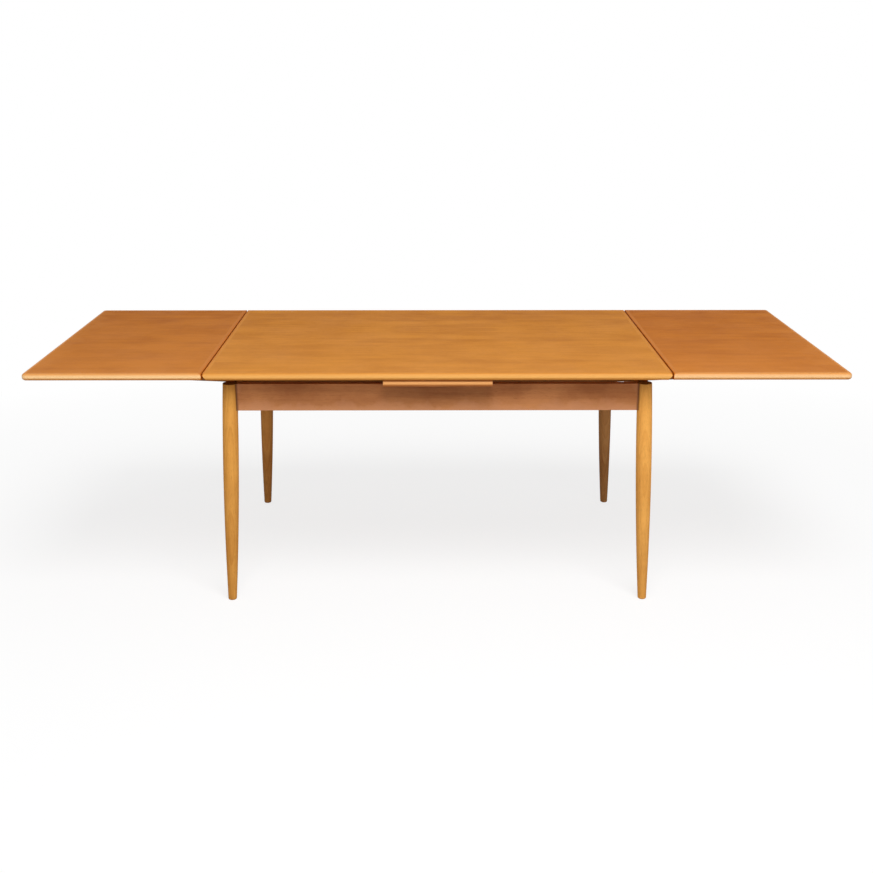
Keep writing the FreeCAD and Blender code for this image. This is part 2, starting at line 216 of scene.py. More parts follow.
def wood_grain_group():
    """Grain along X: rings cut at a slant, broad streaks and clouds, fibres and open pores."""
    tree, given, result = new_group(
        "wood grain", "ShaderNodeTree",
        [("Position", "NodeSocketVector", None),
         ("Light Wood", "NodeSocketColor", (0.6, 0.3, 0.1, 1)),
         ("Dark Wood", "NodeSocketColor", (0.4, 0.18, 0.05, 1)),
         ("Pore Colour", "NodeSocketColor", (0.1, 0.04, 0.01, 1)),
         ("Ring Width", "NodeSocketFloat", 0.009), ("Ring Contrast", "NodeSocketFloat", 0.4),
         ("Streaks", "NodeSocketFloat", 0.3), ("Clouds", "NodeSocketFloat", 0.3),
         ("Fibres", "NodeSocketFloat", 0.4), ("Sway", "NodeSocketFloat", 0.1),
         ("Sheet Width", "NodeSocketFloat", 0.16), ("Pores", "NodeSocketFloat", 0.5),
         ("Slant", "NodeSocketFloat", 0.05)],
        [("Color", "NodeSocketColor"), ("Gloss Change", "NodeSocketFloat"),
         ("Height", "NodeSocketFloat")])
    x, y, z = separate(tree, given["Position"])
    width = given["Sheet Width"]
    pair = calc(tree, "FLOOR", calc(tree, "DIVIDE", y, calc(tree, "MULTIPLY", width, 2.0)))
    chance = tree.nodes.new("ShaderNodeTexWhiteNoise")
    chance.noise_dimensions = "1D"
    feed(tree, chance.inputs["W"], pair)
    mirrored = calc(tree, "PINGPONG", y, width)
    shift = vector_calc(tree, "MULTIPLY", chance.outputs["Color"], (3.0, 3.0, 3.0))
    sheet = vector_calc(tree, "ADD", combine(tree, x, mirrored, z), shift)
    sway = noise(tree, sheet, 0.9, 3.0, detail=2.0)
    ripple = noise(tree, sheet, 5.0, 22.0, detail=2.0, shift=7.0)
    bend = calc(tree, "MULTIPLY_ADD", ripple, 0.006, calc(tree, "MULTIPLY", sway, given["Sway"]))
    across = calc(tree, "ADD", calc(tree, "MULTIPLY_ADD", width, -0.45, mirrored), bend)
    depth = calc(tree, "ADD", calc(tree, "MULTIPLY_ADD", x, given["Slant"], 0.09), z)
    radius = calc(tree, "SQRT", calc(tree, "ADD", calc(tree, "MULTIPLY", across, across),
                                     calc(tree, "MULTIPLY", depth, depth)))
    ring = calc(tree, "FRACT", calc(tree, "DIVIDE", radius, given["Ring Width"]))
    late = calc(tree, "MULTIPLY", calc(tree, "POWER", ring, 2.2), remap(tree, ring, 1.0, 0.93))
    streak = noise(tree, sheet, 0.7, 17.0, detail=4.0, roughness=0.6, shift=3.0)
    cloud = noise(tree, sheet, 6.0, 9.0, detail=4.0, roughness=0.6, shift=23.0)
    fibre = noise(tree, sheet, 9.0, 420.0, detail=3.0, shift=11.0)
    pore = noise(tree, sheet, 55.0, 1500.0, detail=1.0, shift=17.0)
    pore = calc(tree, "MULTIPLY", remap(tree, pore, 0.60, 0.72), given["Pores"])
    tone = calc(tree, "MULTIPLY_ADD", late, given["Ring Contrast"], 0.35)
    tone = calc(tree, "MULTIPLY_ADD", remap(tree, streak, 0.36, 0.64, -0.5, 0.5), given["Streaks"], tone)
    tone = calc(tree, "MULTIPLY_ADD", remap(tree, cloud, 0.36, 0.64, -0.5, 0.5), given["Clouds"], tone)
    tone = calc(tree, "MULTIPLY_ADD", calc(tree, "SUBTRACT", fibre, 0.5), given["Fibres"], tone)
    body = blend_colours(tree, tone, given["Light Wood"], given["Dark Wood"])
    feed(tree, result["Color"], blend_colours(tree, pore, body, given["Pore Colour"]))
    feed(tree, result["Gloss Change"],
         calc(tree, "MULTIPLY_ADD", pore, 0.25, calc(tree, "MULTIPLY", late, 0.06)))
    feed(tree, result["Height"], calc(tree, "SUBTRACT", calc(tree, "MULTIPLY", fibre, 0.35), pore))
    return tree


def edge_wear_group():
    """Masks on a board: edges that hands rub, broken up, and a band low on its sides for painted light or
    shade.
    """
    tree, given, result = new_group(
        "edge wear and painted band", "ShaderNodeTree",
        [("Position", "NodeSocketVector", None), ("Centre", "NodeSocketVector", None),
         ("Half Size", "NodeSocketVector", (10, 10, 10)), ("Width", "NodeSocketFloat", 0.004),
         ("Side Width", "NodeSocketFloat", 0.006), ("Side Start", "NodeSocketFloat", 0.001),
         ("Side Full", "NodeSocketFloat", 0.009), ("Side Fade", "NodeSocketFloat", 0.0105),
         ("Side End", "NodeSocketFloat", 0.016)],
        [("Wear", "NodeSocketFloat"), ("Side", "NodeSocketFloat")])
    offset = vector_calc(tree, "SUBTRACT", given["Position"], given["Centre"])
    depth = separate(tree, vector_calc(tree, "SUBTRACT", given["Half Size"], offset))[2]
    offset = vector_calc(tree, "ABSOLUTE", offset)
    a, b, c = separate(tree, vector_calc(tree, "SUBTRACT", given["Half Size"], offset))
    second = calc(tree, "MAXIMUM", calc(tree, "MINIMUM", a, b),
                  calc(tree, "MINIMUM", calc(tree, "MAXIMUM", a, b), c))
    patches = noise(tree, given["Position"], 14.0, 14.0, detail=5.0, roughness=0.65)
    reach = calc(tree, "MULTIPLY", given["Width"], remap(tree, patches, 0.35, 0.7, 0.25, 1.6))
    feed(tree, result["Wear"], remap(tree, second, reach, 0.0))
    inward = remap(tree, calc(tree, "MINIMUM", a, b), given["Side Width"],
                   calc(tree, "MULTIPLY", given["Side Width"], 0.8))
    below = calc(tree, "MULTIPLY", remap(tree, depth, given["Side Start"], given["Side Full"]),
                 remap(tree, depth, given["Side End"], given["Side Fade"]))
    feed(tree, result["Side"], calc(tree, "MULTIPLY", inward, below))
    return tree


def handling_group():
    """Marks of use: a cloudy polish, small scuffs, and grime that deepens towards the floor."""
    tree, given, result = new_group(
        "handling marks", "ShaderNodeTree",
        [("Position", "NodeSocketVector", None), ("Scuffs", "NodeSocketFloat", 0.5)],
        [("Polish", "NodeSocketFloat"), ("Marks", "NodeSocketFloat"), ("Grime", "NodeSocketFloat")])
    clouds = noise(tree, given["Position"], 6.0, 6.0, detail=4.0)
    fine = noise(tree, given["Position"], 90.0, 90.0, detail=2.0, shift=5.0)
    low = remap(tree, separate(tree, given["Position"])[2], 0.45, 0.15)
    feed(tree, result["Polish"], remap(tree, clouds, 0.3, 0.7, -0.5, 0.5))
    feed(tree, result["Marks"],
         calc(tree, "MULTIPLY", remap(tree, fine, 0.68, 0.78), given["Scuffs"]))
    feed(tree, result["Grime"], calc(tree, "MULTIPLY", low, remap(tree, clouds, 0.35, 0.65, 0.2, 1.0)))
    return tree


def joint_group():
    """Dark places: dirt and painted shade in the upright corners where legs and aprons meet, painted
    shade on the sawn leg tops, and painted shade on what lies under a board overhead.

    Shelter is how far from the middle that board overhead casts its painted shade.
    """
    tree, given, result = new_group(
        "joint dirt and painted shade", "ShaderNodeTree",
        [("Position", "NodeSocketVector", None), ("Long Joint", "NodeSocketVector", (0.584, 0.4045, 0)),
         ("End Joint", "NodeSocketVector", (0.612, 0.376, 0)), ("Reach", "NodeSocketFloat", 0.007),
         ("Bottom", "NodeSocketFloat", 0.598), ("Top", "NodeSocketFloat", 10.0),
         ("Shelter", "NodeSocketFloat", -1.0)],
        [("Grime", "NodeSocketFloat")])
    level = separate(tree, given["Position"])[2]
    spot = vector_calc(tree, "MULTIPLY", vector_calc(tree, "ABSOLUTE", given["Position"]), (1, 1, 0))
    near = 0.0
    # Dirt and painted shade along the upright lines where legs meet aprons.
    for joint in ("Long Joint", "End Joint"):
        distance = vector_calc(tree, "DISTANCE", spot, given[joint])
        near = calc(tree, "MAXIMUM", remap(tree, distance, given["Reach"],
                                           calc(tree, "MULTIPLY", given["Reach"], 0.2)), near)
    near = calc(tree, "MULTIPLY", near, calc(tree, "GREATER_THAN", level, given["Bottom"]))
    # Painted shade: everything above Top, the sawn leg tops, is dark.
    near = calc(tree, "MAXIMUM", near, calc(tree, "GREATER_THAN", level, given["Top"]))
    inside = remap(tree, separate(tree, spot)[0], given["Shelter"],
                   calc(tree, "SUBTRACT", given["Shelter"], 0.02))
    # Painted shade under the board overhead, darker towards the top, from 0.59 m to 0.67 m.
    shaded = calc(tree, "MULTIPLY", inside, remap(tree, level, 0.59, 0.67, 0.0, 0.35))
    feed(tree, result["Grime"], calc(tree, "MAXIMUM", near, shaded))
    return tree


wood_grain = wood_grain_group()
edge_wear_and_painted_band = edge_wear_group()
handling_marks = handling_group()
joint_dirt_and_painted_shade = joint_group()


def middle_of(low, high):
    return [(a + b) / 2 for a, b in zip(low, high)]


def toned(colour, change):
    """A colour in screen values, with a small change to each channel."""
    return [channel + step for channel, step in zip(colour, change)]


def shade(red, green, blue):
    """A colour in screen values from 0 to 255, as a shader takes it."""
    def channel(value):
        part = value / 255
        return part / 12.92 if part <= 0.04045 else ((part + 0.055) / 1.055) ** 2.4
    return (channel(red), channel(green), channel(blue), 1.0)


def oiled_wood(name, light, dark, pore, along="X", centre=(0, 0, 0), edges=None, ring_width=0.009,
               ring_contrast=0.35, streaks=0.3, clouds=0.3, fibres=0.4, sway=0.1, sheet_width=2.0,
               pores=0.4, slant=0.05, roughness=0.5, specular=0.0, oil=0.12, scuffs=0.3, wear=0.35,
               wear_width=0.004, painted_front_light=0.0, side=None, joints=None, relief=0.00004):
    """Wood with its grain along one axis, under a thin satin oil finish, rubbed at its edges.

    Its rings run round centre. Edges is the box whose edges are rubbed, and side is a band of painted
    light or shade on that box's sides, from a depth below its top to another. Painted front light is how
    much paler, as painted light, it grows towards the table's front edge.
    """
    material = bpy.data.materials.new(name)
    material.use_nodes = True
    tree = material.node_tree
    shader = tree.nodes["Principled BSDF"].inputs
    spot = tree.nodes.new("ShaderNodeTexCoord").outputs["Object"]
    turned = node_of(tree, "ShaderNodeMapping", {"vector_type": "TEXTURE"}, vector=spot, location=centre,
                     rotation={"X": (0, 0, 0), "Y": (0, 0, math.pi / 2), "Z": (0, -math.pi / 2, 0)}[along])
    grain = node_of(tree, "ShaderNodeGroup", {"node_tree": wood_grain}, position=turned.outputs[0],
                    light_wood=shade(*light), dark_wood=shade(*dark), pore_colour=shade(*pore),
                    ring_width=ring_width, ring_contrast=ring_contrast, streaks=streaks,
                    clouds=clouds, fibres=fibres, sway=sway, sheet_width=sheet_width, pores=pores,
                    slant=slant).outputs
    marks = node_of(tree, "ShaderNodeGroup", {"node_tree": handling_marks}, position=spot,
                    scuffs=scuffs).outputs
    low, high = edges or ((-10, -10, -10), (10, 10, 10))
    masks = node_of(tree, "ShaderNodeGroup", {"node_tree": edge_wear_and_painted_band}, position=spot,
                    centre=middle_of(low, high), half_size=[(b - a) / 2 for a, b in zip(low, high)],
                    width=wear_width)
    rubbed, painted_band = masks.outputs
    colour = grain["Color"]
    pale = shade(*[min(255, channel) for channel in toned(light, (14, 18, 26))])
    # Painted light: paler towards the table's front edge, where the lamp's light falls.
    if painted_front_light > 0:
        back_edge, front_edge = 0.45, -0.45
        painted_light_share = remap(tree, separate(tree, spot)[1], back_edge, front_edge, 0.0, painted_front_light)
        colour = blend_colours(tree, painted_light_share, colour, pale)
    # A band of painted light or shade on the box's sides.
    if side is not None:
        for socket_name, value in side["reach"].items():
            masks.inputs[socket_name].default_value = value
        share = calc(tree, "MULTIPLY", painted_band, side["share"])
        colour = blend_colours(tree, share, colour, shade(*side["colour"]))
    colour = blend_colours(tree, calc(tree, "MULTIPLY", rubbed, wear), colour, pale)
    # Dirt and painted shade: darker at the leg and apron joins, and painted shade on sawn leg tops and
    # under a board overhead.
    if joints is not None:
        grime = node_of(tree, "ShaderNodeGroup", {"node_tree": joint_dirt_and_painted_shade}, position=spot, **joints)
        share = calc(tree, "MULTIPLY", grime.outputs[0], 0.75)
        colour = blend_colours(tree, share, colour, shade(48, 22, 6))
    stain = calc(tree, "MULTIPLY_ADD", marks["Marks"], 0.25, calc(tree, "MULTIPLY", marks["Grime"], 0.3))
    feed(tree, shader["Base Color"], blend_colours(tree, stain, colour, shade(*pore)))
    gloss = calc(tree, "MULTIPLY_ADD", marks["Polish"], 0.10, roughness)
    gloss = calc(tree, "MULTIPLY_ADD", rubbed, 0.08, gloss)
    feed(tree, shader["Roughness"], calc(tree, "ADD", gloss, grain["Gloss Change"]))
    shader["Specular IOR Level"].default_value = specular
    if oil > 0:
        feed(tree, shader["Coat Weight"], calc(tree, "MULTIPLY_ADD", marks["Polish"], oil * 0.4, oil))
        shader["Coat Roughness"].default_value = 0.34
    height = calc(tree, "SUBTRACT", grain["Height"], marks["Marks"])
    bump = node_of(tree, "ShaderNodeBump", strength=1.0, distance=relief, height=height)
    feed(tree, shader["Normal"], bump.outputs[0])
    return material


def stand_for(piece, node, body):
    """A piece takes the place of a CAD node, on its body."""
    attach(piece, body)
    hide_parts(node)


leg_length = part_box("front_left_leg")[1][2]
foot_x, foot_y = 0.6264, 0.4124
head_x, head_y = 0.602, 0.394
painted_top_shade_depth = 0.0005      # how deep the painted shade goes into the legs' sawn tops
painted_shade_reach = 0.70       # farther out than the legs, so the main top's painted shade covers their heads all round
leg_sizes = {"Foot Diameter": 0.025, "Calf Diameter": 0.037, "Belly Diameter": 0.046,
             "Head Diameter": 0.042, "Foot Height": -0.003, "Calf Height": 0.165,
             "Belly Height": 0.430, "Head Height": leg_length + 0.003, "Length": leg_length,
             "Rim Rounding": 0.004}
# Painted light and shade: each leg's tone is shifted for how the light falls on it, the front right
# lighter, the others darker, the back legs most, as the shade under the table.
leg_painted_light_and_shade = {"front_left": (-10, -8, -4), "front_right": (5, 5, 6), "back_left": (-22, -20, -4),
             "back_right": (-36, -24, 6)}
leg_tree = turned_leg_tree()
for corner, tones in leg_painted_light_and_shade.items():
    side_y = -1 if corner.startswith("front") else 1
    side_x = -1 if corner.endswith("left") else 1
    pith = (side_x * 0.612 + 0.02, side_y * 0.39, 0.31 + 0.1 * side_x)
    leg_wood = oiled_wood(f"oiled {corner} leg", toned((236, 170, 82), tones),
                          toned((208, 140, 60), tones), (118, 66, 26), along="Z", centre=pith,
                          ring_width=0.0055, ring_contrast=0.45, streaks=0.35, clouds=0.5, slant=0.03,
                          joints={"top": leg_length - painted_top_shade_depth, "shelter": painted_shade_reach})
    leg = grown(f"turned_{corner}_leg", leg_tree,
                {**leg_sizes, "Foot Centre": (side_x * foot_x, side_y * foot_y, 0.0),
                 "Head Centre": (side_x * head_x, side_y * head_y, leg_length), "Material": leg_wood})
    stand_for(leg, f"{corner}_leg", "frame")


# --- Aprons ----------------------------------------------------------------------------------------
# Four straight boards of solid wood, coped and tenoned into the legs, with a darker reddish stain.
# The end aprons are notched on top for the sloping lopers. The lower edges are eased by hand and rubbed
# paler, the lower half is painted lighter as the light from the floor, and the front and back aprons are
# painted darker under the centre board as its shade, with dirt and painted shade where they meet the legs.

def eased(name, node, width, material, body):
    """A node's own shape as one clean mesh, its sharp edges eased and its flat faces shaded flat."""
    same_point, same_plane, sharp = 0.000002, math.radians(0.4), math.radians(28)
    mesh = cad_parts[node].data.copy()
    mesh.materials.clear()
    shell = bmesh.new()
    shell.from_mesh(mesh)
    bmesh.ops.remove_doubles(shell, verts=shell.verts, dist=same_point)
    bmesh.ops.dissolve_limit(shell, angle_limit=same_plane, verts=shell.verts, edges=shell.edges)
    for face in shell.faces:
        face.smooth = True
    for edge in shell.edges:
        edge.smooth = True
    shell.to_mesh(mesh)
    shell.free()
    mesh.materials.append(material)
    piece = piece_of(name, mesh)
    bevel = piece.modifiers.new("eased edges", "BEVEL")
    bevel.width = width
    bevel.segments = 2
    bevel.limit_method = "ANGLE"
    bevel.angle_limit = sharp
    flat = piece.modifiers.new("flat faces", "WEIGHTED_NORMAL")
    flat.mode = "FACE_AREA"
    flat.weight = 100
    evaluated = piece.evaluated_get(bpy.context.evaluated_depsgraph_get())
    piece.data = bpy.data.meshes.new_from_object(evaluated)
    piece.modifiers.clear()
    piece.data.name = name
    stand_for(piece, node, body)
    return piece


apron_tones = {"front_apron": (0, 0, 0), "back_apron": (-6, -6, -4), "left_end_apron": (4, 2, 0),
               "right_end_apron": (-2, 0, 2)}
above = 0.5             # how far the rubbed box runs on upwards, so that only lower edges are in it
pith_depth = 1.0        # the tree's middle is far below the board, so its rings lie nearly straight
# Painted light: the aprons' lower half lighter, as the light from the floor falls there.
painted_lower_light = {"colour": (232, 166, 108), "share": 0.42,
              "reach": {"Side Width": 0.06, "Side Start": above + 0.04, "Side Full": above + 0.09,
                        "Side Fade": 1.0, "Side End": 1.1}}
# The front and back aprons are painted darker under the centre board, out to its end, as its shade.
centre_board_end = 0.167
for node, tones in apron_tones.items():
    at_end = "end" in node
    low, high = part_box(node)
    middle = middle_of(low, high)
    lower_edges = (low, (high[0], high[1], high[2] + above))
    # The wide rubbed band at the lower edges is partly wear and partly painted light.
    apron_wood = oiled_wood(f"stained {node}", toned((182, 119, 73), tones),
                            toned((142, 84, 48), tones), (84, 44, 26), along="Y" if at_end else "X",
                            centre=(middle[0], middle[1], middle[2] - pith_depth), edges=lower_edges,
                            ring_width=0.012, ring_contrast=0.12, streaks=0.45, clouds=0.7,
                            fibres=0.3, sway=0.06, slant=0.01, wear=0.7, wear_width=0.034,
                            side=painted_lower_light, joints={} if at_end else {"shelter": centre_board_end})
    eased(f"planed_{node}", node, 0.0006, apron_wood, "frame")


# --- Corner blocks ---------------------------------------------------------------------------------
# Pale beech blocks, glued and screwed across the inside corners of the aprons behind the legs.
# They are sawn and left bare, so their grain is open and their surface dull.

def bare_wood(name, node, light, dark, pore, **finish):
    """Sawn and planed wood without oil, for what the table hides."""
    low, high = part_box(node)
    middle = middle_of(low, high)
    return oiled_wood(name, light, dark, pore, centre=(middle[0], middle[1] - 0.03, middle[2] - 0.07),
                      edges=(low, high), roughness=0.62, specular=0.25, oil=0.0, relief=0.00008, **finish)


for y_name in ("front", "back"):
    for x_name in ("left", "right"):
        node = f"{y_name}_{x_name}_corner_block"
        block_wood = bare_wood(f"bare {node}", node, (222, 184, 136), (192, 148, 100), (150, 104, 66),
                               along="Z", ring_width=0.004, ring_contrast=0.5, streaks=0.3, wear=0.2)
        eased(f"sawn_{node}", node, 0.0005, block_wood, "frame")


# --- Cross rails -----------------------------------------------------------------------------------
# Two beech rails let into the long aprons. They carry the centre board, and their notches
# guide the lopers of both leaves, so the wood in the notches is rubbed smooth.

for side in ("left", "right"):
    node = f"{side}_cross_rail"
    rail_wood = bare_wood(f"bare {node}", node, (216, 174, 124), (186, 140, 92), (140, 96, 60),
                          along="Y", ring_width=0.005, ring_contrast=0.45, streaks=0.35, wear=0.25)
    eased(f"sawn_{node}", node, 0.0005, rail_wood, "frame")


# --- Corner block screws ---------------------------------------------------------------------------
# Sixteen slotted steel screws, four in each corner block, two into each apron.
# Each is sunk in a counterbore, with its slot left at whatever angle it stopped.

def turned_shape(tree, stations, sides):
    """A round shape along Z, from the height and radius of each station."""
    count = len(stations)
    line = node_of(tree, "GeometryNodeCurvePrimitiveLine", start=(0, 0, 0), end=(0, 0, 1))
    points = node_of(tree, "GeometryNodeResampleCurve", curve=line.outputs[0], count=count)
    index = node_of(tree, "GeometryNodeInputIndex").outputs[0]
    picked = []
    for column in (0, 1):
        choice = tree.nodes.new("GeometryNodeIndexSwitch")
        choice.data_type = "FLOAT"
        while len(choice.index_switch_items) < count:
            choice.index_switch_items.new()
        feed(tree, choice.inputs["Index"], index)
        for number, station in enumerate(stations):
            feed(tree, choice.inputs[str(number)], station[column])
        picked.append(choice.outputs[0])
    placed = node_of(tree, "GeometryNodeSetPosition", geometry=points.outputs[0],
                     position=combine(tree, 0.0, 0.0, picked[0]))
    sized = node_of(tree, "GeometryNodeSetCurveRadius", curve=placed.outputs[0], radius=picked[1])
    ring = node_of(tree, "GeometryNodeCurvePrimitiveCircle", resolution=sides, radius=1.0)
    swept = node_of(tree, "GeometryNodeCurveToMesh", curve=sized.outputs[0],
                    profile_curve=ring.outputs[0], fill_caps=True)
    scale = next((s for s in swept.inputs if s.name == "Scale"), None)
    if scale is not None:
        feed(tree, scale, picked[1])
    return swept.outputs[0]


def at_each_place(tree, geometry, places, spin=None):
    """Puts one shape at each place, pointing along that place's direction."""
    direction = node_of(tree, "GeometryNodeInputNamedAttribute", {"data_type": "FLOAT_VECTOR"},
                        name="direction").outputs[0]
    turn = node_of(tree, "FunctionNodeAlignRotationToVector", {"axis": "Z"}, vector=direction).outputs[0]
    if spin is not None:
        turn = node_of(tree, "FunctionNodeRotateRotation", {"rotation_space": "LOCAL"}, rotation=turn,
                       rotate_by=combine(tree, 0.0, 0.0, spin)).outputs[0]
    return node_of(tree, "GeometryNodeInstanceOnPoints", points=places, instance=geometry,
                   rotation=turn).outputs[0]


def slotted_screw_tree():
    """Countersunk screws standing on their heads, points along each place's direction."""
    names = ("Head Diameter", "Shank Diameter", "Head Height", "Length", "Tip Length", "Slot Width",
             "Slot Depth")
    tree, given, result = new_group(
        "slotted screws", "GeometryNodeTree",
        [("Places", "NodeSocketGeometry", None)]
        + [(name, "NodeSocketFloat", None) for name in names]
        + [("Material", "NodeSocketMaterial", None)],
        [("Geometry", "NodeSocketGeometry")])
    head = calc(tree, "MULTIPLY", given["Head Diameter"], 0.5)
    shank = calc(tree, "MULTIPLY", given["Shank Diameter"], 0.5)
    length = given["Length"]
    bore = turned_shape(tree, [(0.0, calc(tree, "SUBTRACT", head, 0.0002)), (0.0002, head),
                               (given["Head Height"], shank),
                               (calc(tree, "SUBTRACT", length, given["Tip Length"]), shank),
                               (length, 0.00015)], 32)
    reach = calc(tree, "ADD", given["Head Diameter"], 0.002)
    depth = calc(tree, "MULTIPLY", given["Slot Depth"], 2.0)
    blade = node_of(tree, "GeometryNodeMeshCube", size=combine(tree, reach, given["Slot Width"], depth))
    cut = tree.nodes.new("GeometryNodeMeshBoolean")
    cut.operation = "DIFFERENCE"
    feed(tree, cut.inputs[0], bore)
    feed(tree, cut.inputs[1], blade.outputs[0])
    spin = tree.nodes.new("FunctionNodeRandomValue")
    spin.data_type = "FLOAT"
    feed(tree, next(s for s in spin.inputs if s.name == "Max" and s.enabled), math.pi)
    feed(tree, spin.inputs["Seed"], 11)
    angle = next(s for s in spin.outputs if s.enabled)
    screws = at_each_place(tree, cut.outputs[0], given["Places"], angle)
    finished(tree, screws, given["Material"], result[0])
    return tree


def screw_steel(name):
    """Plain steel gone dull, with fine turning marks and a breath of rust."""
    material = bpy.data.materials.new(name)
    material.use_nodes = True
    tree = material.node_tree
    shader = tree.nodes["Principled BSDF"].inputs
    spot = tree.nodes.new("ShaderNodeTexCoord").outputs["Object"]
    patches = noise(tree, spot, 260.0, 260.0, detail=4.0)
    fine = noise(tree, spot, 2600.0, 2600.0, detail=2.0)
    rust = remap(tree, patches, 0.55, 0.75)
    feed(tree, shader["Base Color"], blend_colours(tree, rust, shade(172, 168, 160), shade(132, 96, 66)))
    feed(tree, shader["Metallic"], remap(tree, rust, 0.0, 1.0, 1.0, 0.6))
    turning = remap(tree, fine, 0.3, 0.7, 0.3, 0.42)
    feed(tree, shader["Roughness"], calc(tree, "MULTIPLY_ADD", rust, 0.25, turning))
    bump = node_of(tree, "ShaderNodeBump", strength=0.6, distance=0.00003, height=fine)
    feed(tree, shader["Normal"], bump.outputs[0])
    return material


head_radius = 0.004
screw_sizes = {"Head Diameter": 2 * head_radius, "Shank Diameter": 0.004, "Head Height": 0.0024,
               "Tip Length": 0.004, "Slot Width": 0.001, "Slot Depth": 0.001}
screw_tree = slotted_screw_tree()
steel = screw_steel("dull screw steel")
apron_corner = (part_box("right_end_apron")[0][0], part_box("back_apron")[0][1])
block_middle = middle_of(*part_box("front_left_corner_block"))[2]
seat_along, seat_depth, seat_rise = 0.042, 0.016, 0.013
block_seats = []
for side_x in (-1, 1):
    for side_y in (-1, 1):
        near_x, far_x = [side_x * (apron_corner[0] - inset) for inset in (seat_depth, seat_along)]
        near_y, far_y = [side_y * (apron_corner[1] - inset) for inset in (seat_depth, seat_along)]
        for z in (block_middle - seat_rise, block_middle + seat_rise):
            block_seats.append(((far_x, near_y, z), (0, side_y, 0)))
            block_seats.append(((near_x, far_y, z), (side_x, 0, 0)))
block_screws = grown("slotted_corner_block_screws", screw_tree,
                     {**screw_sizes, "Length": 0.030, "Material": steel}, block_seats)
stand_for(block_screws, "corner_block_screws", "frame")


# --- Centre board ----------------------------------------------------------------------------------
# The fixed board between the stowed leaves, screwed down on the rails. The main top rests on it.
# It is veneered board, set back a little, and its solid lipping shows as a strip in front, painted
# with a pale highlight across its middle and darker above and below as shade.

board_box = (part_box("centre_board_front_lipping")[0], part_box("centre_board_back_lipping")[1])
veneer = oiled_wood("centre board veneer", (206, 140, 72), (176, 110, 52), (110, 62, 28),
                    centre=(0.02, 0.0, 0.66), sheet_width=0.15, ring_contrast=0.3, streaks=0.3,
                    roughness=0.5)
eased("veneered_centre_board", "centre_board_panel", 0.00012, veneer, "frame")
# Painted highlight: a pale band across the middle of the lipping's front. The lipping's darker colour
# above and below it stands for shade in the groove and at its lower edge.
board_painted_highlight = {"colour": (252, 184, 114), "share": 0.9,
              "reach": {"Side Width": 0.012, "Side Start": 0.0035, "Side Full": 0.0065,
                        "Side Fade": 0.0095, "Side End": 0.0155}}
for y_name in ("front", "back"):
    node = f"centre_board_{y_name}_lipping"
    lipping_wood = oiled_wood(f"centre board {y_name} lipping wood", (182, 112, 58), (156, 90, 42),
                              (110, 60, 30), centre=(0.1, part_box(node)[0][1], 0.66), edges=board_box,
                              side=board_painted_highlight, ring_width=0.006, ring_contrast=0.25, streaks=0.25)
    eased(f"rounded_{node}", node, 0.00012, lipping_wood, "frame")
rail_middle = middle_of(*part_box("right_cross_rail"))[0]
screw_rows = (-0.35, -0.15, 0.15, 0.35)
board_seats = [((side * rail_middle, y, board_box[1][2]), (0, 0, -1))
               for side in (-1, 1) for y in screw_rows]
board_screws = grown("slotted_centre_board_screws", screw_tree,
                     {**screw_sizes, "Length": 0.045, "Material": steel}, board_seats)
stand_for(board_screws, "centre_board_screws", "frame")


# --- Main top --------------------------------------------------------------------------------------
# The large loose top: book-matched veneer on a core, lipped all round in solid wood with mitred
# corners. Its long edges are rounded and its ends are undercut, so that the leaves can slip past.

# Painted shade: a dark band on the faces at the seams beside the leaves.
seam_painted_shade = {"colour": (190, 102, 20), "share": 0.9,
             "reach": {"Side Width": 0.003, "Side Start": -0.002, "Side Full": -0.001,
                       "Side Fade": 1.0, "Side End": 1.1}}
# Painted highlight: a pale band down the rounded long edges.
nose_painted_highlight = {"colour": (240, 181, 103), "share": 0.8, "reach": {}}
spare = 0.5
top_low, top_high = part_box("main_top_front_lipping")[0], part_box("main_top_back_lipping")[1]
long_box = ((top_low[0] - spare, top_low[1], top_low[2]), (top_high[0] + spare, top_high[1], top_high[2]))
end_box = ((top_low[0], top_low[1] - spare, top_low[2]), (top_high[0], top_high[1] + spare, top_high[2]))
# The wide rubbed band at the long edges is partly wear and partly painted sheen, and the front is painted
# paler as light.
top_veneer = oiled_wood("main top veneer", (202, 130, 45), (174, 104, 30), (118, 64, 20),
                        centre=(0.15, -0.02, 0.60), sheet_width=0.146, ring_contrast=0.14,
                        streaks=0.4, clouds=0.55, fibres=0.25, slant=0.06, ring_width=0.012,
                        edges=long_box, wear=0.3, wear_width=0.04, painted_front_light=0.28)
eased("veneered_main_top", "main_top_panel", 0.00012, top_veneer, "main_top")
for side in ("front", "back", "left", "right"):
    node = f"main_top_{side}_lipping"
    at_end = side in ("left", "right")
    low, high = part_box(node)
    edge_wood = oiled_wood(f"main top {side} lipping wood", (208, 138, 56), (184, 114, 42), (126, 72, 26),
                           along="Y" if at_end else "X", side=seam_painted_shade if at_end else nose_painted_highlight,
                           centre=(low[0], low[1], 0.66), edges=end_box if at_end else long_box,
                           ring_width=0.006, ring_contrast=0.3, streaks=0.3, painted_front_light=0.15)
    eased(f"rounded_{node}", node, 0.00012, edge_wood, "main_top")


# --- Guide pegs ------------------------------------------------------------------------------------
# Two beech pegs glued into the underside of the main top. They drop into holes in the centre
# board, and their tips are tapered to find the holes when the top comes down on the leaves.

